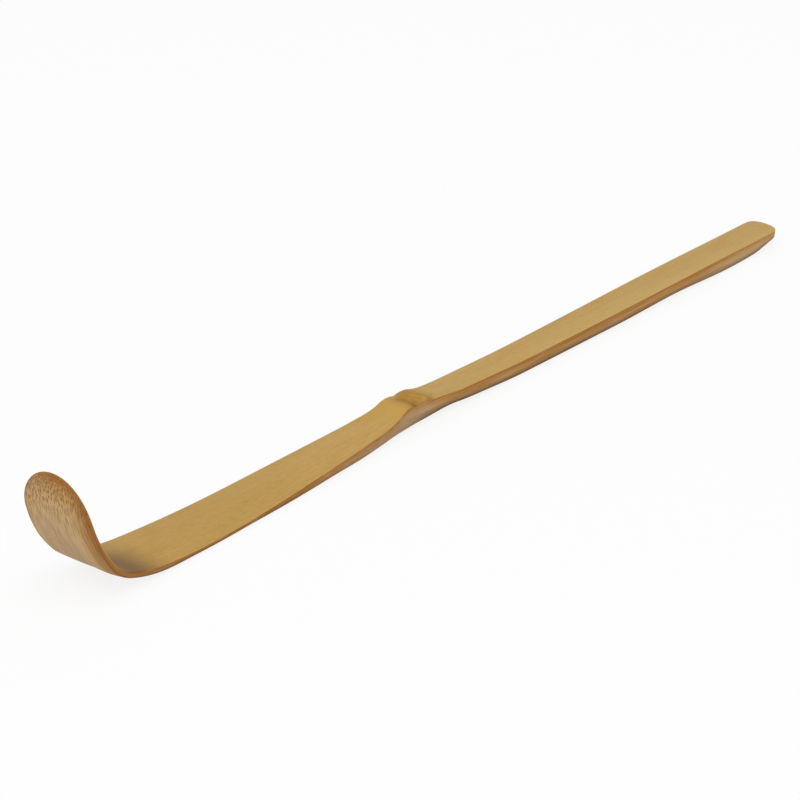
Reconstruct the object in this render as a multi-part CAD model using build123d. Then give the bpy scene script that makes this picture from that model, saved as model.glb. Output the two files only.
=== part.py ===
from build123d import *
from math import asin, cos, degrees, pi, radians, sin
import os

# A tea scoop cut from one strip of bamboo, with the skin on top.
# Millimetres and degrees. Places run along the skin, from the tail to the scooping tip.

# Lengths along the skin
handle_length = 95.3  # tail to the groove of the node
neck_rise = 27.3  # run over which the handle curves up to the node
neck_turn = 1.5
node_run = 1.5  # half the run over which the strip turns down at the node
front_length = 35.0  # groove of the node to where the front part begins to curve up
front_turn = 1.4
heel_length = 23.2  # from there to the start of the bend
heel_turn = 5.7
start_radius = 26.0  # skin radius where the bend begins
start_turn = 15.7
bend_radius = 6.8  # skin radius in the middle of the bend
bend_turn = 31.3
end_radius = 22.0  # skin radius where the bend ends
end_turn = 25.4
tip_radius = 98.0
tip_length = 5.2  # end of the bend to the rim
rest_run = 30.0  # groove to where the front part rests

# Widths across the skin
tail_width = 5.9
grip_width = 6.1
grip_place = 31.0
swell_width = 5.75
neck_width = 5.1
neck_run = 8.0  # groove to where the narrow neck begins
node_width = 4.9
shoulder_width = 6.2
shoulder_run = 9.0  # groove to shoulder
heel_width = 9.2
bend_width = 11.15
tip_width = 12.1

# How much wider the underside of the handle is than its skin, on each side
handle_flare = 0.2
flare_run = 20.0  # groove to where the flare begins to fade

# Heights of the sides, down from the plain line of the skin
tail_end_side = 1.3
tail_side = 2.35
tail_rise = 15.0  # length over which the underside sweeps up to the tail
thin_grip_side = 1.85
handle_side = 2.15
handle_place = 46.0
swell_side = 2.22
swell_run = 25.0  # groove to the fullest part of the handle
neck_side = 1.68
node_side = 2.05
shoulder_side = 1.9
front_side = 1.45
front_run = 20.0  # groove to the middle of the front part
rest_side = 1.15
thin_side = 0.7
thin_run = 16.0  # where the front part thins, to the start of the bend
heel_side = 0.68
rim_side = 0.33

# Cross-section
culm_radius = 45.0  # roundness of the skin, which is that of the cane
handle_belly = 0.34  # how far the middle of the underside hangs below its edges
front_belly = 0.25
heel_belly = 0.3
rim_belly = -0.25  # the underside of the rim is hollow, along the skin
least_belly = 0.02  # so that the underside stays an arc where it turns hollow
under_radius = 0.3  # lower corners, where the side is high enough for them
corner_share = 0.6  # most of a thin side that its corner takes up

# Node: a groove between the flared lip of the front part and a raised band
lip_height = 1.1
lip_run = 1.4  # lip to groove
flare_height = 0.36
lip_slope = 4.4  # groove to the foot of the lip
flare_length = 11.0  # groove to where the lip begins to flare
groove_height = 0.7
band_height = 1.05
band_run = 2.2  # groove to the top of the band
foot_height = 0.42
band_slope = 4.0  # groove to the foot of the band
foot_length = 10.5  # groove to where the handle begins to rise to the band
handle_sag = 0.23  # how far the skin of the handle sinks below its plain line
sag_run = 29.0  # groove to the deepest place

# Ends
tip_cap = 6.9  # length of the rounded rim
tail_corner = 1.1
tail_bow = 0.6  # how far the middle of the tail stands out past its corners
trim_clearance = 0.1  # sides to the outlines that round the ends
rest_flat = 0.06  # depth of the flats that the scoop rests on

# Fineness of the loft
plain_step = 6.0
bend_step = 2.4
end_margin = 2.0  # stock past each end, which the rounded outlines cut away

start_length = start_radius * radians(start_turn)
bend_length = bend_radius * radians(bend_turn)
end_length = end_radius * radians(end_turn)
groove = handle_length
heel_start = groove + front_length
bend_start = heel_start + heel_length
bend_end = bend_start + start_length + bend_length + end_length
tip_end = bend_end + tip_length
cap_start = tip_end - tip_cap
rest_place = groove + rest_run

width_marks = [
    (-end_margin, tail_width),
    (tail_rise / 2, tail_width),
    (grip_place, grip_width),
    (groove - swell_run - tail_rise, swell_width),
    (groove - neck_run, neck_width),
    (groove - band_run, node_width),
    (groove + lip_run, node_width),
    (groove + shoulder_run, shoulder_width),
    (heel_start, heel_width),
    (bend_start, bend_width),
    (cap_start, tip_width),
    (tip_end + end_margin, tip_width),
]

flare_marks = [
    (-end_margin, handle_flare),
    (groove - flare_run, handle_flare),
    (groove, 0),
    (tip_end + end_margin, 0),
]

side_marks = [
    (-end_margin, tail_end_side),
    (0, tail_end_side),
    (tail_rise, tail_side),
    (grip_place, thin_grip_side),
    (handle_place, handle_side),
    (groove - swell_run, swell_side),
    (groove - neck_run, neck_side),
    (groove, node_side),
    (groove + shoulder_run, shoulder_side),
    (groove + front_run, front_side),
    (rest_place, rest_side),
    (bend_start - thin_run, thin_side),
    (bend_start, heel_side),
    (tip_end, rim_side),
    (tip_end + end_margin, rim_side),
]

belly_marks = [
    (-end_margin, handle_belly),
    (groove, handle_belly),
    (rest_place, front_belly),
    (bend_start, heel_belly),
    (bend_end, heel_belly),
    (tip_end, rim_belly),
    (tip_end + end_margin, rim_belly),
]

ridge_marks = [
    (-end_margin, 0),
    (tail_rise, 0),
    (groove - sag_run, -handle_sag),
    (groove - foot_length, 0),
    (groove - band_slope, foot_height),
    (groove - band_run, band_height),
    (groove, groove_height),
    (groove + lip_run, lip_height),
    (groove + lip_slope, flare_height),
    (groove + flare_length, 0),
    (tip_end + end_margin, 0),
]


def fair(place, marks):
    """Value at a place on a smooth curve through the marks, which never overshoots them."""
    slopes = []
    for (start, low), (end, high) in zip(marks, marks[1:]):
        slopes.append((high - low) / (end - start))
    leans = [0]
    for before, after in zip(slopes, slopes[1:]):
        leans.append(2 * before * after / (before + after) if before * after > 0 else 0)
    leans.append(0)
    for index, ((start, low), (end, high)) in enumerate(zip(marks, marks[1:])):
        if place <= end:
            break
    span = end - start
    part = (place - start) / span
    rest = 1 - part
    value = low * rest**2 * (1 + 2 * part) + high * part**2 * (1 + 2 * rest)
    return value + span * part * rest * (leans[index] * rest - leans[index + 1] * part)


def crown(place):
    """How far the skin's edges lie below its middle."""
    return (fair(place, width_marks) / 2) ** 2 / (2 * culm_radius)


def belly(place):
    """How far the middle of the underside lies below its edges, never quite level with them."""
    depth = fair(place, belly_marks)
    return max(depth, least_belly) if depth > 0 else min(depth, -least_belly)


def under(place):
    """How far the middle of the underside lies below the skin's middle line."""
    return crown(place) + fair(place, side_marks) + belly(place)


# The front part drops just enough for it and the tail to rest on one plane.
neck_lift = (neck_rise - node_run) * sin(radians(neck_turn / 2)) + node_run * sin(radians(neck_turn))
rest_drop = asin((under(tail_rise) - under(rest_place) + neck_lift) / rest_run)
rest_ease = front_turn * (rest_run - node_run) ** 2 / (front_length - node_run) / rest_run / 2
drop_turn = neck_turn + degrees(rest_drop) + rest_ease

# Runs of the skin's middle line: length and turn, upwards positive
runs = [
    (handle_length - neck_rise + end_margin, 0),
    (neck_rise - node_run, neck_turn),
    (2 * node_run, -drop_turn),
    (front_length - node_run, front_turn),
    (heel_length, heel_turn),
    (start_length, start_turn),
    (bend_length, bend_turn),
    (end_length, end_turn),
    (tip_length + end_margin, degrees((tip_length + end_margin) / tip_radius)),
]


def skin_at(place):
    """Point on the middle of the skin and the heading there, 0 towards the tip and 90 upwards."""
    left = place + end_margin
    point = Vector(end_margin, 0, under(tail_rise))
    heading = 0
    for length, turn in runs:
        step = min(left, length)
        part = step / length if length else 1
        middle = radians(heading + turn * part / 2)
        half_turn = radians(turn * part / 2)
        chord = step * sin(half_turn) / half_turn if half_turn else step
        point += Vector(-chord * cos(middle), 0, chord * sin(middle))
        heading += turn * part
        left -= step
        if left <= 0:
            break
    return point, heading


def plane_across(place):
    """Plane square to the strip, x across it and y out of the skin."""
    point, heading = skin_at(place)
    along = Vector(-cos(radians(heading)), 0, sin(radians(heading)))
    return Plane(point, x_dir=(0, -1, 0), z_dir=along)


def section(place):
    """Crowned skin, flared sides, round lower corners and a slightly full underside."""
    half = fair(place, width_marks) / 2
    wide = half + fair(place, flare_marks)
    ridge = fair(place, ridge_marks)
    edge = ridge - crown(place)
    side = fair(place, side_marks)
    lower = -crown(place) - side
    corner = min(under_radius, corner_share * side)
    inner = wide - corner
    upper = lower + corner
    bulge = (inner + corner * cos(pi / 4), upper - corner * sin(pi / 4))
    outline = [
        ThreePointArc((-half, edge), (0, ridge), (half, edge)),
        Line((half, edge), (wide, upper)),
        ThreePointArc((wide, upper), bulge, (inner, lower)),
        ThreePointArc((inner, lower), (0, -under(place)), (-inner, lower)),
        ThreePointArc((-inner, lower), (-bulge[0], bulge[1]), (-wide, upper)),
        Line((-wide, upper), (-half, edge)),
    ]
    return plane_across(place) * make_face(outline)


def spread(start, end, step):
    """Evenly spaced places from start up to, and without, end."""
    count = round((end - start) / step) or 1
    return [start + (end - start) * index / count for index in range(count)]


def places():
    """Stations of the loft, close together at the node and in the bend."""
    node_marks = [place for place, height in ridge_marks[3:-1]]
    found = spread(-end_margin, node_marks[0], plain_step)
    for start, end in zip(node_marks, node_marks[1:]):
        found += spread(start, end, (end - start) / 3)
    found += spread(node_marks[-1], bend_start, plain_step)
    found += spread(bend_start, tip_end + end_margin, bend_step)
    return found + [tip_end + end_margin]


def end_trim(place, towards, outline, reach):
    """Stock outside an outline, drawn on the skin at a place, from there to past the end."""
    point, heading = skin_at(place)
    along = Vector(-cos(radians(heading)), 0, sin(radians(heading))) * towards
    face = Plane(point, x_dir=along, z_dir=Vector(0, 1, 0).cross(along) * -towards)
    stock = face * Rectangle(reach, 2 * tip_width, align=(Align.MIN, Align.CENTER))
    cut_depth = lip_height + tip_width
    return extrude(stock - face * outline, cut_depth, both=True)


handle = loft([section(place) for place in places() if place <= groove])
front = loft([section(place) for place in places() if place >= groove])
strip = handle + front

rim = Ellipse(tip_cap, tip_width / 2 + trim_clearance)
strip -= end_trim(cap_start, 1, rim, tip_cap + 2 * end_margin)

tail_half = tail_width / 2 + handle_flare + trim_clearance
tail_edge = tail_rise - tail_bow
tail_corners = [
    (tail_edge, tail_half),
    (-tail_rise, tail_half),
    (-tail_rise, -tail_half),
    (tail_edge, -tail_half),
]
tail_arc = ThreePointArc(tail_corners[-1], (tail_rise, 0), tail_corners[0])
tail_sheet = make_face([Polyline(*tail_corners), tail_arc])
tail_outline = fillet(tail_sheet.vertices().sort_by(Axis.X)[-2:], tail_corner)
strip -= end_trim(tail_rise, -1, tail_outline, tail_rise + 2 * end_margin)

ground = Pos(0, 0, rest_flat) * Box(
    2 * tip_end, 2 * tip_width, tail_side, align=(Align.CENTER, Align.CENTER, Align.MAX)
)
strip -= Pos(-tip_end / 2, 0, 0) * ground

box = strip.bounding_box()
scoop = Pos(-box.center().X, 0, -rest_flat) * strip
scoop.label = "scoop"

os.makedirs("parts", exist_ok=True)
export_step(scoop, "parts/scoop.step")
print("length", round(box.size.X, 2), "width", round(box.size.Y, 2), "height", round(box.size.Z, 2))
print("along the skin", round(tip_end, 2), "drop of the front part", round(drop_turn, 2), "degrees")
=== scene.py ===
import math
from types import SimpleNamespace
import bmesh
import bpy
import numpy as np
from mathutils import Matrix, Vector


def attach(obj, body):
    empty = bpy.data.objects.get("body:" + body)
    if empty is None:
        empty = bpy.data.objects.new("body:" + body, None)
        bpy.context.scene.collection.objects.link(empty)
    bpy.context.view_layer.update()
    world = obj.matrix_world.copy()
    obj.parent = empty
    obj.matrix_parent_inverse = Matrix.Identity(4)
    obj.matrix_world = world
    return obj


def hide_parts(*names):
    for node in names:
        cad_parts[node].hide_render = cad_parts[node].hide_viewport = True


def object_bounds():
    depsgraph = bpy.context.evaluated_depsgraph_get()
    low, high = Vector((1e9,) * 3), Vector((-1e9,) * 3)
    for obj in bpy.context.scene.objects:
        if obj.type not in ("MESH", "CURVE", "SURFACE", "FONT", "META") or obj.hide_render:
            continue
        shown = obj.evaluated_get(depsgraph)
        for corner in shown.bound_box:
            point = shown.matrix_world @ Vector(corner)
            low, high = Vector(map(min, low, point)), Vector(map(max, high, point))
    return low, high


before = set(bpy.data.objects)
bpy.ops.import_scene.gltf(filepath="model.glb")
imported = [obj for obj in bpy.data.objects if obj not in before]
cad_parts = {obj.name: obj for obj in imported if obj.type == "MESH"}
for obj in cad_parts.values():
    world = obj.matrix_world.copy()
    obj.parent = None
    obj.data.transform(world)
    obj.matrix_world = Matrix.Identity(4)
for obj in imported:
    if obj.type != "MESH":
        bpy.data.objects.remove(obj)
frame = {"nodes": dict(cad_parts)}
cadLow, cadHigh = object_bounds()
print("frame loaded:", ", ".join(frame["nodes"]))

mm = 0.001  # the strip's sizes are in millimetres, meshes and the stage in metres


def fair(place, marks):
    # smooth curve through the marks that never overshoots them
    at, value = np.array(marks, float).T
    gap = np.diff(at)
    slope = np.diff(value) / gap
    both = slope[:-1] * slope[1:]
    lean = np.zeros(len(at))
    lean[1:-1] = np.where(both > 0, 2 * both / np.where(both > 0, slope[:-1] + slope[1:], 1), 0)
    i = np.clip(np.searchsorted(at, place) - 1, 0, len(gap) - 1)
    t = np.clip((place - at[i]) / gap[i], 0, 1)
    r = 1 - t
    curve = value[i] * r**2 * (1 + 2 * t) + value[i + 1] * t**2 * (1 + 2 * r)
    return curve + gap[i] * t * r * (lean[i] * r - lean[i + 1] * t)


def ease(value, low, high):
    t = np.clip((value - low) / (high - low), 0, 1)
    return t * t * (3 - 2 * t)


# Strip: places run along its skin from the tail to the tip, turns are in degrees
strip = {
    "handleLength": 95.3,  # tail to the groove of the node
    "neckRise": 27.3,  # run over which the handle curves up to the node
    "neckTurn": 1.5,
    "nodeRun": 1.5,  # half the run over which the strip turns down at the node
    "frontLength": 35.0,  # groove to where the front part begins to curve up
    "frontTurn": 1.4,
    "heelLength": 23.2,  # from there to the start of the bend
    "heelTurn": 5.7,
    "startRadius": 26.0,  # the bend has three radii
    "startTurn": 15.7,
    "bendRadius": 6.8,
    "bendTurn": 31.3,
    "endRadius": 22.0,
    "endTurn": 25.4,
    "tipRadius": 98.0,
    "tipLength": 5.2,
    "restRun": 30.0,  # groove to where the front part rests
    "tailRise": 15.0,  # run over which the underside sweeps up to the tail
    "restFlat": 0.06,  # how deep the underside is worn flat where it rests
    "culmRadius": 45.0,  # roundness of the skin
    "tipCap": 6.95,  # length of the rounded rim
    "tipPower": 2.05,  # how square the rim is
    "tailCap": 2.0,
    "tailPower": 2.6,
    "tailSlant": 0.3,  # how much further out the far corner of the tail is
    "tailSlantRun": 7.0,
    "tipShift": 0.12,  # how far the tip stands to the far side
    "topRound": 0.1,  # worn edges of the skin
    "topShare": 0.25,  # most of a thin side that they take up
    "underRound": 0.3,  # lower edges, the same way
    "underShare": 0.6,
    "nearFullAt": -0.57,  # where the bend is fuller below, as a share of half the width
    "nearFullReach": 0.45,
    "farFullFrom": 0.2,
    "lineStep": 0.01,  # step of the line that is worked out, and how far it goes past the ends
    "lineSpare": 1.0,
}

groove = strip["handleLength"]
heelStart = groove + strip["frontLength"]
bendStart = heelStart + strip["heelLength"]
startLength = strip["startRadius"] * math.radians(strip["startTurn"])
bendLength = strip["bendRadius"] * math.radians(strip["bendTurn"])
endLength = strip["endRadius"] * math.radians(strip["endTurn"])
bendEnd = bendStart + startLength + bendLength + endLength
tipEnd = bendEnd + strip["tipLength"]
capStart = tipEnd - strip["tipCap"]
restPlace = groove + strip["restRun"]

# Sizes that change along the strip, each with its place
profile = {
    # across the skin
    "width": [
        (0, 5.9), (7.5, 5.9), (31, 6.1), (55.3, 5.75), (groove - 8, 5.1), (groove - 2.2, 4.9),
        (groove + 1.4, 4.95), (groove + 9, 6.35), (heelStart, 9.42), (bendStart, 11.25),
        (capStart, 12.1), (tipEnd, 12.1),
    ],
    # how much wider the underside is on each side
    "flare": [(0, -0.15), (2.5, 0), (8, 0.2), (groove - 20, 0.2), (groove, 0), (tipEnd, 0)],
    # height of the sides, wavy as the knife left them
    "side": [
        (0, 1.1), (2, 1.36), (3.8, 1.62), (5.6, 1.87), (7.4, 2.12), (9.2, 2.23), (11, 2.29), (15, 2.35),
        (31, 1.85), (46, 2.15), (groove - 25, 2.22), (groove - 16.5, 2.0), (groove - 12, 1.88),
        (groove - 8, 1.69), (groove, 2.13), (groove + 2.3, 2.1), (groove + 4.5, 1.95),
        (groove + 7.3, 1.8), (groove + 12.4, 1.79), (groove + 20, 1.47), (restPlace, 1.15),
        (bendStart - 16, 0.72), (bendStart - 6, 0.73), (bendStart - 1.5, 0.82), (bendStart + 4, 0.72),
        (bendStart + 6, 0.68), (tipEnd, 0.33),
    ],
    # how much further down the underside is in the middle
    "belly": [
        (0, 0.34), (groove, 0.34), (restPlace, 0.25), (bendStart - 2, 0.28), (bendStart + 5, 0.12),
        (bendStart + 11, 0.12), (bendEnd, 0.25), (tipEnd, 0.15),
    ],
    # where the bend is fuller below, on the near side and by the far edge
    "nearFull": [
        (0, 0), (bendStart, 0), (bendStart + 6, 0.13), (bendStart + 11, 0.13), (bendEnd - 4, 0),
        (tipEnd, 0),
    ],
    "farFull": [
        (0, 0), (bendStart, 0), (bendStart + 8, -0.02), (bendStart + 10, -0.03), (bendStart + 12, 0.035),
        (bendStart + 13, 0.1), (bendStart + 14.5, 0.155), (bendEnd - 3.6, 0.155), (bendEnd - 1.6, 0.08),
        (bendEnd + 1.4, 0.06), (tipEnd, 0),
    ],
    # dip in the skin of the handle
    "sag": [(0, 0), (15, 0), (groove - 29, -0.23), (groove - 10.5, 0), (tipEnd, 0)],
    # the bend lifts the edges of the skin and so flattens it, at first less on the far side
    "edgeRise": [
        (0, 0), (bendStart - 7, 0), (bendStart + 1, 0.2), (bendStart + 8, 0.2), (bendEnd, 0), (tipEnd, 0),
    ],
    "farDip": [
        (0, 0), (bendStart - 6.5, 0), (bendStart - 3, 0.1), (bendStart - 0.5, 0.16), (bendStart + 5, 0),
        (tipEnd, 0),
    ],
}

# Fibres: how the carved faces go from the dense outer fibres to the soft inner ones
fibre = {
    # softness gained by each millimetre down a side, and softness at its top
    "sideShare": [
        (0, 0.9), (14, 0.8), (30, 0.5), (groove - 12, 0.45), (groove, 0.6), (groove + 12, 0.5),
        (tipEnd, 0.45),
    ],
    "sidePale": [
        (0, 0.5), (12, 0.35), (25, 0.15), (groove - 8, 0.15), (groove - 1.5, 0.35), (groove + 4, 0.35),
        (groove + 12, 0.25), (groove + 25, 0.15), (heelStart, 0), (tipEnd, 0),
    ],
    "inner": 2.2,  # softness of the innermost fibres
    "lowShare": 0.75,  # how steeply the painted shade along the lower edge of a side fades upwards
    "rimRun": 3.4,  # how far from the rim of the tip the dense fibres show
    "rimSkew": 0.15,  # how much further they do on the far side, by the distance across
    "nearRun": 2.0,  # the same from the near and the far edge
    "farRun": 0.4,
}

# Node: heights of the skin by distance from the scar groove, towards the tip positive
node = {
    "nearRise": [
        (-11.6, 0), (-9.1, 0.15), (-7.1, 0.33), (-5.9, 0.43), (-4.6, 0.5), (-3.4, 0.64), (-2.65, 0.89),
        (-2.1, 1.1), (-1.7, 1.15), (-1.2, 1.07), (-0.4, 0.84), (0, 0.72), (0.45, 0.88), (1.0, 1.0),
        (1.55, 1.05), (2.05, 0.99), (2.95, 0.76), (4.5, 0.36), (6, 0.13), (8.3, 0.05), (11.3, 0),
    ],
    "farRise": [
        (-12, 0), (-8, 0.09), (-6.5, 0.17), (-5.1, 0.31), (-4.2, 0.48), (-3.4, 0.68), (-2.8, 0.83),
        (-2.2, 0.9), (-1.6, 0.93), (-0.5, 0.85), (0, 0.74), (0.5, 0.83), (1.2, 0.97), (1.8, 1.03),
        (2.6, 0.98), (3.2, 0.85), (4.5, 0.48), (5.8, 0.27), (7.1, 0.15), (11, 0),
    ],
    "farBlend": (-0.9, 0.8),  # shares of half the width between which the far heights take over
    "nearSlant": 0.15,
    "farSlant": 0.5,
    "scarWave": 0.25,
    "bulge": 0.3,  # how much fuller the band is in the middle
    "bulgePlace": -2.5,
    "bulgeRun": 2.7,
    "bulgeRear": 4.8,
}


def halfWidth(place):
    return fair(place, profile["width"]) / 2


def crownAt(across):
    return across**2 / (2 * strip["culmRadius"])


def underMiddle(place):
    return crownAt(halfWidth(place)) + fair(place, profile["side"]) + fair(place, profile["belly"])


def scarDistance(place, across):
    share = np.clip(across / halfWidth(place), -1, 1)
    slant = np.where(share > 0, node["farSlant"], node["nearSlant"])
    return place - groove + slant * share - node["scarWave"] * np.sin(math.pi * share)


def skinHeight(place, across):
    # height of the skin over the strip's middle line, with its node, crown and sag
    share = across / halfWidth(place)
    far = ease(share, *node["farBlend"])
    past = scarDistance(place, across)
    rise = fair(past, node["nearRise"]) * (1 - far) + fair(past, node["farRise"]) * far
    fromMiddle = np.minimum(share**2, 1)
    away = past - node["bulgePlace"]
    away = np.where(away > 0, away / node["bulgeRun"], -away / node["bulgeRear"])
    bulge = node["bulge"] * (1 - fromMiddle) * (1 - ease(away, 0, 1))
    edge = (fair(place, profile["edgeRise"]) - fair(place, profile["farDip"]) * far) * fromMiddle
    return rise + bulge + edge + fair(place, profile["sag"]) - crownAt(across)


def baseHeight(place, across):
    # height of the underside, which thins towards the rim of the tip
    half = halfWidth(place)
    share = across / half
    wide = half + fair(place, profile["flare"])
    fromMiddle = (across / wide) ** 2 + (np.maximum(place - capStart, 0) / strip["tipCap"]) ** 2
    full = np.clip(1 - fromMiddle, 0, 1)
    thick = fair(place, profile["side"]) + (crownAt(half) + fair(place, profile["belly"])) * full
    thick = thick + fair(place, profile["farFull"]) * ease(share, strip["farFullFrom"], 1)
    near = 1 - ease(abs(share - strip["nearFullAt"]), 0, strip["nearFullReach"])
    return -crownAt(across) - thick - fair(place, profile["nearFull"]) * near


# The front part drops just enough for it and the tail to rest on one plane
neckTurn = math.radians(strip["neckTurn"])
nodeRun, restRun = strip["nodeRun"], strip["restRun"]
neckLift = (strip["neckRise"] - nodeRun) * math.sin(neckTurn / 2) + nodeRun * math.sin(neckTurn)
restDrop = math.asin((underMiddle(strip["tailRise"]) - underMiddle(restPlace) + neckLift) / restRun)
restEase = strip["frontTurn"] * (restRun - nodeRun) ** 2 / (strip["frontLength"] - nodeRun) / restRun / 2
dropTurn = strip["neckTurn"] + math.degrees(restDrop) + restEase

runs = [
    (strip["handleLength"] - strip["neckRise"], 0),
    (strip["neckRise"] - nodeRun, strip["neckTurn"]),
    (2 * nodeRun, -dropTurn),
    (strip["frontLength"] - nodeRun, strip["frontTurn"]),
    (strip["heelLength"], strip["heelTurn"]),
    (startLength, strip["startTurn"]),
    (bendLength, strip["bendTurn"]),
    (endLength, strip["endTurn"]),
    (strip["tipLength"], math.degrees(strip["tipLength"] / strip["tipRadius"])),
]
headingMarks = [(0, 0)]
for length, turn in runs:
    headingMarks.append((headingMarks[-1][0] + length, headingMarks[-1][1] + turn))

linePlaces = np.arange(-strip["lineSpare"], tipEnd + strip["lineSpare"], strip["lineStep"])
lineHeading = np.radians(np.interp(linePlaces, *np.array(headingMarks).T))
lineX = -np.cumsum(np.cos(lineHeading)) * strip["lineStep"]
lineZ = np.cumsum(np.sin(lineHeading)) * strip["lineStep"]
lineX += cadHigh.x / mm - np.interp(0, linePlaces, lineX)
lineZ += underMiddle(strip["tailRise"]) - strip["restFlat"] - np.interp(0, linePlaces, lineZ)


def toFrame(place, across, height):
    # from strip coordinates to the frame, in metres, worn flat where it would go below the rest
    slant = strip["tailSlant"] / halfWidth(0.0) * (1 - ease(place, 0, strip["tailSlantRun"]))
    place = place - slant * across
    heading = np.interp(place, linePlaces, lineHeading)
    across = across + strip["tipShift"] * ease(place, bendStart, bendEnd)
    x = np.interp(place, linePlaces, lineX) + np.sin(heading) * height
    z = np.interp(place, linePlaces, lineZ) + np.cos(heading) * height
    return np.stack([x, np.broadcast_to(across, x.shape), np.maximum(z, 0)], -1) * mm


# Mesh: rings across the strip, which turn into the rounded ends
grid = {
    "plainStep": 0.45,
    "nodeStep": 0.12,
    "nodeReach": 7.0,
    "bendStep": 0.35,
    "tipRings": 60,
    "tailRings": 36,
    "topColumns": 37,
    "underColumns": 29,
    "sideRows": 7,
    "roundRows": 4,
    "weld": 1e-7,  # in metres: points this close are one, and edges this short go
    "shortest": 1e-8,
}

# What the mesh carries for its finish, up to three values in each attribute
carried = {
    "stripGrain": ("along", "across", "inward"),
    "stripCut": ("depth", "soft", "lower"),
    "stripScar": ("scar", "share"),
}


def spread(start, end, step):
    return np.linspace(start, end, max(2, round((end - start) / step) + 1))[:-1]


def capRings(length, half, power, count):
    # a rounded end from its sides to its apex: reach, half width and outward direction
    turn = np.linspace(0, math.pi / 2, count)
    s, c = np.sin(turn), np.maximum(np.cos(turn), 0)
    p = 2 / power
    outS, outY = s ** (2 - p) / length, c ** (2 - p) / half
    size = np.hypot(outS, outY)
    return length * s**p, half * c**p, outS / size, outY / size


def outlineRings():
    # place, half width and outward direction of the outline at each ring
    tailHalf, tipHalf = halfWidth(strip["tailCap"]), halfWidth(tipEnd)
    reach, half, outS, outY = capRings(strip["tailCap"], tailHalf, strip["tailPower"], grid["tailRings"])
    tail = np.stack([strip["tailCap"] - reach, half, -outS, outY])[:, :0:-1]
    nodeStart, nodeEnd = groove - grid["nodeReach"], groove + grid["nodeReach"]
    places = np.concatenate([
        spread(strip["tailCap"], nodeStart, grid["plainStep"]),
        spread(nodeStart, nodeEnd, grid["nodeStep"]),
        spread(nodeEnd, bendStart, grid["plainStep"]),
        spread(bendStart, capStart, grid["bendStep"]),
    ])
    body = np.stack([places, halfWidth(places), np.zeros(len(places)), np.ones(len(places))])
    reach, half, outS, outY = capRings(strip["tipCap"], tipHalf, strip["tipPower"], grid["tipRings"])
    tip = np.stack([capStart + reach, half, outS, outY])
    return np.concatenate([tail, body, tip], 1)


def stripRings():
    # points of every ring: place, across, height, distance into the fibres, depth below the skin,
    # softness and distance from the lower edge
    ringPlace, ringHalf, outS, outY = (column[:, None] for column in outlineRings())
    flare = fair(ringPlace, profile["flare"]) * outY
    side = fair(ringPlace, profile["side"])
    topRound = np.minimum(strip["topRound"], strip["topShare"] * side)
    underRound = np.minimum(strip["underRound"], strip["underShare"] * side)
    lowInset = underRound - flare
    sideShare, sidePale = fair(ringPlace, fibre["sideShare"]), fair(ringPlace, fibre["sidePale"])
    plainEdge = fair(ringPlace, profile["sag"]) - crownAt(ringHalf)
    columns = []

    def put(*values):
        columns.append(np.stack(np.broadcast_arrays(*values), -1))

    def wall(sign):
        edge = skinHeight(ringPlace, sign * ringHalf)
        low = baseHeight(ringPlace - outS * lowInset, sign * (ringHalf - outY * lowInset))
        tall = edge - low
        points = []
        for turn in np.linspace(0, math.pi / 2, grid["roundRows"] + 1)[1:]:
            points.append((topRound * (1 - math.sin(turn)), topRound * (1 - math.cos(turn))))
        for share in np.linspace(0, 1, grid["sideRows"] + 1)[1:]:
            points.append((-flare * share, topRound + (tall - topRound - underRound) * share))
        for turn in np.linspace(0, math.pi / 2, grid["roundRows"] + 1)[1:-1]:
            inset = underRound * (1 - math.cos(turn)) - flare
            points.append((inset, tall - underRound * (1 - math.sin(turn))))
        for inset, fall in points:
            place, across = ringPlace - outS * inset, sign * (ringHalf - outY * inset)
            inward = plainEdge - edge + fall
            lower = fibre["lowShare"] * (1 - fall / tall)
            yield place, across, edge - fall, inward, fall, sideShare * fall + sidePale, lower

    # skin, far side, underside, near side
    share = np.linspace(-1, 1, grid["topColumns"])[None]
    place, across = ringPlace - outS * topRound, (ringHalf - outY * topRound) * share
    put(place, across, skinHeight(place, across), 0.0, 0.0, 0.0, 1.0)
    farWall, nearWall = list(wall(1)), list(wall(-1))
    for column in farWall:
        put(*column)
    share = np.linspace(1, -1, grid["underColumns"])[None]
    wide = ringHalf - outY * lowInset
    place, across = ringPlace - outS * lowInset, wide * share
    low = baseHeight(place, across)
    *_, nearSoft, _ = nearWall[-1]
    *_, farSoft, _ = farWall[-1]
    edgeSoft = (nearSoft * (1 - share) + farSoft * (1 + share)) / 2
    fromRim = np.maximum(tipEnd - place - fibre["rimSkew"] * across, 0)
    fullSoft = fibre["inner"] * (1 - np.exp(-fromRim / fibre["rimRun"]))
    fromNear, fromFar = wide * (1 + share), wide * (1 - share)
    inside = (1 - np.exp(-fromNear / fibre["nearRun"])) * (1 - np.exp(-fromFar / fibre["farRun"]))
    soft = edgeSoft + (fullSoft - edgeSoft) * inside
    put(place, across, low, fullSoft, skinHeight(place, across) - low, soft, wide * (1 - abs(share)))
    for column in reversed(nearWall):
        put(*column)
    return np.concatenate(columns, 1)


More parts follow.
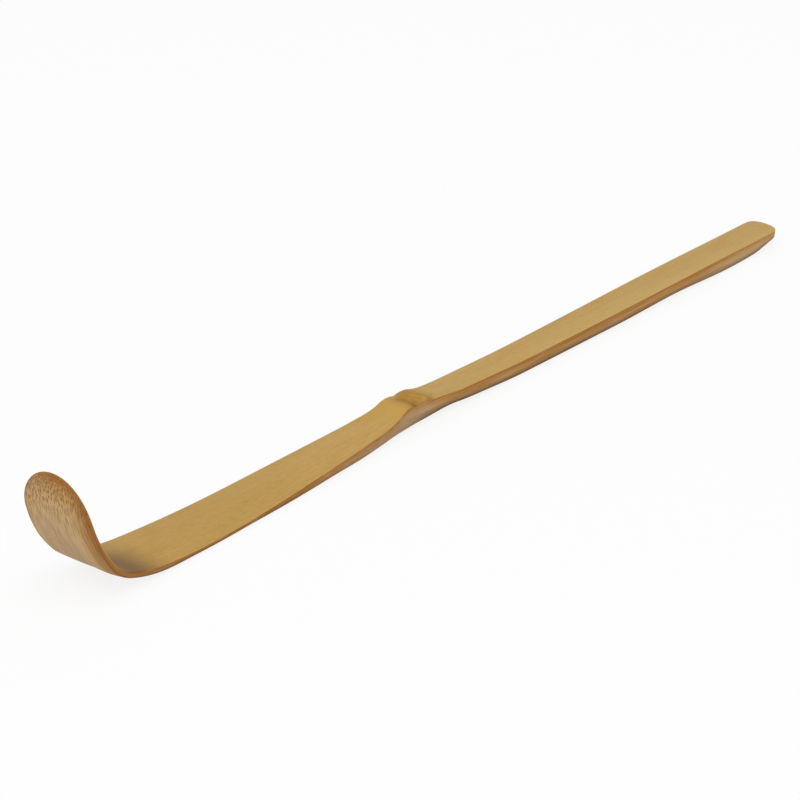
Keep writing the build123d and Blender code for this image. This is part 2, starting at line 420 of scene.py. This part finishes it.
def scoopMesh():
    rings = stripRings()
    count, around = rings.shape[:2]
    place, across, height, inward, depth, soft, lower = np.moveaxis(rings, -1, 0)
    points = toFrame(place, across, height).reshape(-1, 3)
    index = np.arange(count * around).reshape(count, around)
    turned = np.roll(index, -1, 1)
    faces = np.stack([index[:-1], turned[:-1], turned[1:], index[1:]], -1).reshape(-1, 4)
    mesh = bpy.data.meshes.new("scoopStrip")
    mesh.from_pydata(points.tolist(), [], faces.tolist())
    values = {
        "along": place, "across": across, "inward": inward, "depth": depth, "soft": soft, "lower": lower,
        "scar": scarDistance(place, across), "share": across / halfWidth(place),
    }
    for name, parts in carried.items():
        vectors = np.zeros((len(points), 3), np.float32)
        for column, part in enumerate(parts):
            vectors[:, column] = values[part].ravel()
        layer = mesh.attributes.new(name, "FLOAT_VECTOR", "POINT")
        layer.data.foreach_set("vector", vectors.ravel())
    built = bmesh.new()
    built.from_mesh(mesh)
    bmesh.ops.remove_doubles(built, verts=built.verts, dist=grid["weld"])
    bmesh.ops.dissolve_degenerate(built, edges=built.edges, dist=grid["shortest"])
    bmesh.ops.recalc_face_normals(built, faces=built.faces)
    for face in built.faces:
        face.smooth = True
    built.to_mesh(mesh)
    built.free()
    return mesh


def addObject(name, data):
    made = bpy.data.objects.new(name, data)
    bpy.context.scene.collection.objects.link(made)
    return made


scoop = addObject("scoop_strip", scoopMesh())
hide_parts("scoop")
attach(scoop, "root")
print("strip built:", len(scoop.data.polygons), "faces")


# Shader sockets that work as plain expressions
class Wire:
    def __init__(self, tree, socket=None):
        self.tree = tree
        self.socket = socket

    def node(self, kind, settings=None, values=None, out=0):
        made = self.tree.nodes.new(kind)
        for name, value in (settings or {}).items():
            if name == "stops":
                while len(made.color_ramp.elements) < len(value):
                    made.color_ramp.elements.new(1)
                for element, (position, colour) in zip(made.color_ramp.elements, value):
                    element.position = position
                    element.color = colour
            else:
                setattr(made, name, value)
        for name, value in (values or {}).items():
            if isinstance(value, Wire):
                self.tree.links.new(value.socket, made.inputs[name])
            else:
                made.inputs[name].default_value = value
        return Wire(self.tree, made.outputs[out] if made.outputs else None)

    def pick(self, name):
        # another output of the same node
        return Wire(self.tree, self.socket.node.outputs[name])

    def maths(self, operation, first, second):
        return self.node("ShaderNodeMath", {"operation": operation}, {0: first, 1: second})

    def __add__(self, other):
        return self.maths("ADD", self, other)

    def __radd__(self, other):
        return self.maths("ADD", other, self)

    def __sub__(self, other):
        return self.maths("SUBTRACT", self, other)

    def __rsub__(self, other):
        return self.maths("SUBTRACT", other, self)

    def __mul__(self, other):
        return self.maths("MULTIPLY", self, other)

    def __rmul__(self, other):
        return self.maths("MULTIPLY", other, self)

    def __truediv__(self, other):
        return self.maths("DIVIDE", self, other)

    def __rtruediv__(self, other):
        return self.maths("DIVIDE", other, self)

    def ramp(self, low, high, before, after):
        # before below low, after above high, smooth between
        settings = {"interpolation_type": "SMOOTHSTEP"}
        values = {"Value": self, "From Min": low, "From Max": high, "To Min": before, "To Max": after}
        return self.node("ShaderNodeMapRange", settings, values)

    def rise(self, low, high, most=1):
        # none below low, most above high
        return self.ramp(low, high, 0, most)

    def fall(self, low, high, most=1):
        # most below low, none above high
        return self.ramp(low, high, most, 0)

    def between(self, low, full, out, high, most=1):
        # most from full to out, none below low or above high
        return self.rise(low, full, most) * self.fall(out, high)

    def bell(self, middle, reach, most=1):
        # most at the middle, none past the reach
        away = self.node("ShaderNodeMath", {"operation": "ABSOLUTE"}, {0: self - middle})
        return away.fall(0, reach, most)

    def tint(self, other, share):
        settings = {"data_type": "RGBA"}
        return self.node("ShaderNodeMix", settings, {0: share, 6: self, 7: other}, out=2)


def freshTree(owner):
    # the emptied node tree of a material or a world
    owner.use_nodes = True
    owner.node_tree.nodes.clear()
    return Wire(owner.node_tree)


def stripWires(start):
    # the values that the mesh carries, by their names
    at = SimpleNamespace(start=start)
    for name, parts in carried.items():
        vector = start.node("ShaderNodeAttribute", {"attribute_name": name}, out="Vector")
        split = start.node("ShaderNodeSeparateXYZ", None, {0: vector})
        for part, axis in zip(parts, "XYZ"):
            setattr(at, part, split.pick(axis))
    return at


grainRoughness = 0.55


def grain(at, cellsAlong, cellsAcross, detail):
    # noise drawn out along the strip, by its cells per millimetre
    where = {0: at.along * cellsAlong, 1: at.across * cellsAcross, 2: at.inward * cellsAcross}
    where = at.start.node("ShaderNodeCombineXYZ", None, where)
    values = {"Vector": where, "Scale": 1.0, "Detail": detail, "Roughness": grainRoughness}
    return at.start.node("ShaderNodeTexNoise", None, values, out="Fac")


def paint(red, green, blue):
    # a colour as it reads in a picture, made linear
    return (*(((v / 255 + 0.055) / 1.055) ** 2.4 for v in (red, green, blue)), 1)


# Skin: its colours, and where and how strongly they show
skinLook = {
    "plain": paint(187, 151, 85),
    "pale": paint(198, 165, 102),
    "deep": paint(176, 138, 66),
    # painted highlight along the rounded top edges of the skin
    "edge": paint(200, 162, 96),
    # also the colour of the painted highlight on the crest
    "gold": paint(191, 151, 70),
    "band": paint(158, 114, 40),
    # also the colour of the painted shadow behind the crest
    "scar": paint(112, 72, 26),
    # heat scorch plus painted shade of the bend's inner corner
    "scorchAndShade": paint(104, 68, 18),
    # noise: cells per millimetre along and across, detail
    "cloudGrain": (0.12, 0.35, 2),
    "mottleGrain": (0.8, 1.8, 3),
    "rippleGrain": (2.2, 0.5, 2),
    # from, to, strength: by noise, by place, by share of half the width or by depth
    "streaks": (0.4, 0.75, 0.6),
    "clouds": (0.42, 0.75, 0.35),
    "mottle": (0.42, 0.72, 0.4),
    "deepFront": (groove + 6, heelStart + 5, 0.42),
    "paleNear": (-1, 0.4, 0.5),
    "paleHandle": (55, groove - 10),
    # painted highlight along the rounded top edges of the skin
    "edgeHighlight": (0.005, 0.04, 0.6),
    # node, by distance from the scar: from, full, to, end, strength
    "goldRun": (-0.6, 0.2, 1, 9, 0.75),
    "bandRun": (-5.5, -0.6, 0.6, 2.9),
    # or middle, reach, strength
    "scarRun": (0.45, 1.1),
    # painted highlight on the near end of the band's crest
    "crestHighlight": (-1.9, 0.9, 0.6),
    # painted shadow in the step behind the crest at the near end
    "troughShadow": (-3.3, 1.4, 0.4),
    # strengths of the band and the scar, and what their ends add or take by share of half the width
    "bandShade": 0.5,
    "bandRipple": (0.35, 0.65, 0.32),  # added by noise
    "notchShare": (0.3, 1),  # the band is left paler at the far end of the groove, a painted highlight
    "notchRun": (-0.8, 0, 0.8),
    "nearEnd": (-1, -0.45),
    "scarShade": 0.27,
    "scarNear": 0.45,  # added at the near end
    "scarFar": (0.3, 0.8, 0.27),  # taken on the far side
    # bend, heat scorch plus painted shade of its inner corner, by place: from, full, to, end
    "scorchAndShadeRun": (bendStart - 2, bendStart + 6.5, bendStart + 7, bendStart + 13.5),
    "scorchAndShadeStrength": 0.88,
    "scorchAndShadeFar": (-0.2, 0.7, 0.45),  # taken on the far side
}


def skinColour(at, streaks):
    look = skinLook
    values = {0: streaks.rise(*look["streaks"]), 6: look["plain"], 7: look["pale"]}
    skin = at.start.node("ShaderNodeMix", {"data_type": "RGBA"}, values, out=2)
    clouds = grain(at, *look["cloudGrain"]).rise(*look["clouds"])
    mottle = grain(at, *look["mottleGrain"]).rise(*look["mottle"])
    skin = skin.tint(look["deep"], clouds + mottle + at.along.rise(*look["deepFront"]))
    skin = skin.tint(look["pale"], at.share.fall(*look["paleNear"]) * at.along.fall(*look["paleHandle"]))
    # painted highlight along the rounded top edges of the skin
    skin = skin.tint(look["edge"], at.depth.rise(*look["edgeHighlight"]))

    # node: gold lip, brown band, scar, and on the near side a painted highlight on the end of the crest
    # and a painted shadow behind it
    skin = skin.tint(look["gold"], at.scar.between(*look["goldRun"]))
    # painted highlight: the band is left off at the far end of the groove
    notchHighlight = at.share.rise(*look["notchShare"]) * at.scar.rise(*look["notchRun"])
    ripple = grain(at, *look["rippleGrain"]).rise(*look["bandRipple"])
    band = at.scar.between(*look["bandRun"]) * (1 - notchHighlight)
    skin = skin.tint(look["band"], band * (look["bandShade"] + ripple))
    nearEnd = at.share.fall(*look["nearEnd"])
    shade = look["scarShade"] + nearEnd * look["scarNear"] - at.share.rise(*look["scarFar"])
    skin = skin.tint(look["scar"], at.scar.bell(*look["scarRun"]) * shade)
    # painted highlight on the near end of the crest, in the gold colour
    skin = skin.tint(look["gold"], at.scar.bell(*look["crestHighlight"]) * nearEnd)
    # painted shadow in the step behind the crest, in the scar colour
    skin = skin.tint(look["scar"], at.scar.bell(*look["troughShadow"]) * nearEnd)

    # bend, darkened by heat scorch plus painted shade of its inner corner
    shade = look["scorchAndShadeStrength"] - at.share.rise(*look["scorchAndShadeFar"])
    return skin.tint(look["scorchAndShade"], at.along.between(*look["scorchAndShadeRun"]) * shade)


# Carved faces: ranges go from, to, strength, and those round the node middle, reach, strength
woodLook = {
    "rim": paint(150, 98, 36),
    "dense": paint(170, 120, 58),
    "middle": paint(189, 149, 95),
    "soft": paint(200, 167, 119),
    "inner": paint(193, 165, 126),
    "bundle": paint(136, 86, 38),
    "pale": paint(200, 172, 138),
    "grey": paint(146, 122, 106),
    # painted shade along the lower edges of the sides
    "paintedUnderShade": paint(92, 66, 48),
    "stops": {"rim": 0.0, "dense": 0.22, "middle": 0.46, "soft": 0.73, "inner": 1.0},  # by softness
    "bundleAcross": 0.34,  # spacing of the fibre bundles
    "bundleDeep": 0.24,
    "bundleLoose": 0.8,
    "bundleSize": (0.18, 0.5),
    "wobbleGrain": (0.25, 0.6, 1),
    "wobble": 0.5,
    "bundleSide": 0.22,  # how strongly the bundles show
    "bundleTip": 0.5,
    "bundleFade": (1.35, 2.0, 0.4),
    "bundleNear": 0.3,
    "nearRim": (-1, -0.38),
    "nearRimShade": 0.65,
    "farPale": (-0.1, 0.7, 0.35),
    "farPaleSoft": (0.6, 1.8),
    "fineLight": (0.5, 0.68, 0.35),
    "fineDark": (0.32, 0.5, 0.4),
    "greyRun": (groove + 6, 22, 0.4),  # the sides are greyer round the node
    "greyDepth": (0.2, 1.2),
    "thinRun": (groove + 20, heelStart),  # where the sides get thin
    "lowReach": (0.05, 0.4),  # painted shade along the lower edge of the sides
    "lowReachThin": 0.2,
    "lowEnd": (bendStart - 6, capStart),
    "lowShade": 0.7,
    "lowHandle": (25, 60, 0.18),
    "lowFront": (groove - 5, groove + 4, 0.3),
    "lowThin": 0.15,
    "lowNode": (groove + 8, 14, 0.6),
}


def fibreBundles(at):
    # dots where the fibres are cut across, streaks where they are cut along
    look = woodLook
    wobble = grain(at, *look["wobbleGrain"]) * look["wobble"]
    where = {0: at.across / look["bundleAcross"] + wobble, 1: at.inward / look["bundleDeep"] + wobble}
    where = at.start.node("ShaderNodeCombineXYZ", None, where)
    values = {"Vector": where, "Scale": 1.0, "Randomness": look["bundleLoose"]}
    cells = at.start.node("ShaderNodeTexVoronoi", {"voronoi_dimensions": "2D"}, values, out="Distance")
    return cells.fall(*look["bundleSize"])


def woodColour(at, fine, bundles):
    look = woodLook
    stops = [(position, look[name]) for name, position in look["stops"].items()]
    wood = at.start.node("ShaderNodeValToRGB", {"stops": stops}, {"Fac": at.soft / fibre["inner"]})

    # outer face of the tip: paler on the far side, dense fibres by the near rim, bundles
    onTip = at.along.rise(bendStart, bendEnd)
    farPale = at.share.rise(*look["farPale"]) * at.soft.fall(*look["farPaleSoft"])
    wood = wood.tint(look["pale"], onTip * farPale)
    nearRim = onTip * at.share.fall(*look["nearRim"])
    wood = wood.tint(look["rim"], nearRim * look["nearRimShade"])
    tipStrength = onTip * (look["bundleTip"] - at.inward.rise(*look["bundleFade"]))
    strength = look["bundleSide"] + tipStrength + nearRim * look["bundleNear"]
    wood = wood.tint(look["bundle"], bundles * strength)

    # all faces: fine fibres
    wood = wood.tint(look["pale"], fine.rise(*look["fineLight"]))
    wood = wood.tint(look["bundle"], fine.fall(*look["fineDark"]))

    # sides: greyer round the node, with painted shade along the lower edge
    wood = wood.tint(look["grey"], at.along.bell(*look["greyRun"]) * at.depth.rise(*look["greyDepth"]))
    thin = at.along.rise(*look["thinRun"])
    lowFull, lowOut = look["lowReach"]
    low = at.lower.fall(lowFull, lowOut + thin * look["lowReachThin"]) * at.along.fall(*look["lowEnd"])
    shade = look["lowShade"] + at.along.rise(*look["lowHandle"]) - at.along.rise(*look["lowFront"])
    shade = (shade + thin * look["lowThin"]) * (1 - at.along.bell(*look["lowNode"]))
    return wood.tint(look["paintedUnderShade"], low * shade)


# Bamboo: where the skin ends, and how rough and how glossy the strip is
bamboo = {
    "streakGrain": (0.03, 3.0, 3),
    "fineGrain": (0.07, 7.0, 3),
    "cutDepth": (0.05, 0.14),  # depths between which the skin gives way to the carved face
    "bandWrap": (-1.2, 1.6, 0.35),  # how much deeper that is where the node's band wraps over the edges
    "roughSkin": 0.42,
    "roughCut": 0.2,
    "roughNode": (-3, 4, 0.38),
    "specular": 0.1,
    "streakBump": 0.3,
    "fineBump": 0.4,
    "bundleBump": 0.3,
    "bumpStrength": 0.12,
    "bumpDistance": 0.0001,
}


def bambooMaterial():
    material = bpy.data.materials.new("bamboo")
    at = stripWires(freshTree(material))
    streaks, fine = grain(at, *bamboo["streakGrain"]), grain(at, *bamboo["fineGrain"])
    bundles = fibreBundles(at)
    cut = (at.depth - at.scar.bell(*bamboo["bandWrap"])).rise(*bamboo["cutDepth"])
    colour = skinColour(at, streaks).tint(woodColour(at, fine, bundles), cut)
    rough = bamboo["roughSkin"] + cut * bamboo["roughCut"] + at.scar.bell(*bamboo["roughNode"])
    relief = streaks * bamboo["streakBump"] + fine * bamboo["fineBump"]
    relief = relief - bundles * cut * bamboo["bundleBump"]
    values = {"Strength": bamboo["bumpStrength"], "Distance": bamboo["bumpDistance"], "Height": relief}
    bump = at.start.node("ShaderNodeBump", None, values, out="Normal")
    body = at.start.node("ShaderNodeBsdfPrincipled", None, {
        "Base Color": colour,
        "Roughness": rough,
        "Normal": bump,
        "Specular IOR Level": bamboo["specular"],
    })
    at.start.node("ShaderNodeOutputMaterial", None, {"Surface": body})
    return material


scoop.data.materials.append(bambooMaterial())
print("bamboo finished")


# Stage: floor and light
stage = {
    "floorSize": 4.0,
    "floorColour": (0.88, 0.88, 0.88, 1),
    "floorWhite": 0.85,  # how much of the floor shows as plain white
    "worldColour": (1, 1, 1, 1),
    "worldStrength": 0.72,
    "keyPower": 2.2,
    "keySize": 0.7,
    "keyPlace": (-0.25, -0.25, 0.6),
}


def floorMaterial():
    material = bpy.data.materials.new("paleFloor")
    start = freshTree(material)
    lit = start.node("ShaderNodeBsdfDiffuse", None, {"Color": stage["floorColour"]})
    white = start.node("ShaderNodeEmission", None, {"Strength": 1.0})
    seen = start.node("ShaderNodeLightPath", None, None, out="Is Camera Ray")
    seen = seen + seen.pick("Is Glossy Ray") + seen.pick("Is Transmission Ray")
    mixed = start.node("ShaderNodeMixShader", None, {0: seen * stage["floorWhite"], 1: lit, 2: white})
    start.node("ShaderNodeOutputMaterial", None, {"Surface": mixed})
    return material


def aim(thing, direction):
    thing.rotation_mode = "QUATERNION"
    thing.rotation_quaternion = direction.to_track_quat("-Z", "Y")


bpy.ops.mesh.primitive_plane_add(size=stage["floorSize"])
floor = bpy.context.object
floor.name = "floor"
floor.data.materials.append(floorMaterial())

world = bpy.data.worlds.new("studio")
bpy.context.scene.world = world
worldStart = freshTree(world)
values = {"Strength": stage["worldStrength"], "Color": stage["worldColour"]}
sky = worldStart.node("ShaderNodeBackground", None, values)
worldStart.node("ShaderNodeOutputWorld", None, {"Surface": sky})

lamp = bpy.data.lights.new("key", "AREA")
lamp.energy = stage["keyPower"]
lamp.size = stage["keySize"]
key = addObject("key", lamp)
key.location = stage["keyPlace"]
aim(key, -Vector(stage["keyPlace"]))

# Camera: angles in degrees, the focal length in pixels of the picture
camera = {
    "azimuth": -51.266,
    "elevation": 23.953,
    "distance": 0.55,
    "target": (-0.01161, 0.0, 0.00423),
    "focal": 3758.13,
    "picture": 800,
    "sensor": 36,
    "clipStart": 0.01,
}
azimuth, elevation = math.radians(camera["azimuth"]), math.radians(camera["elevation"])
level = math.cos(elevation)
back = Vector((math.sin(azimuth) * level, -math.cos(azimuth) * level, math.sin(elevation)))
eye = bpy.data.cameras.new("eye")
eye.sensor_width = camera["sensor"]
eye.lens = camera["focal"] / camera["picture"] * camera["sensor"]
eye.clip_start = camera["clipStart"]
eyeObject = addObject("eye", eye)
eyeObject.location = Vector(camera["target"]) + back * camera["distance"]
aim(eyeObject, -back)
bpy.context.scene.camera = eyeObject

bpy.context.scene.view_settings.view_transform = "Standard"
print("stage set")
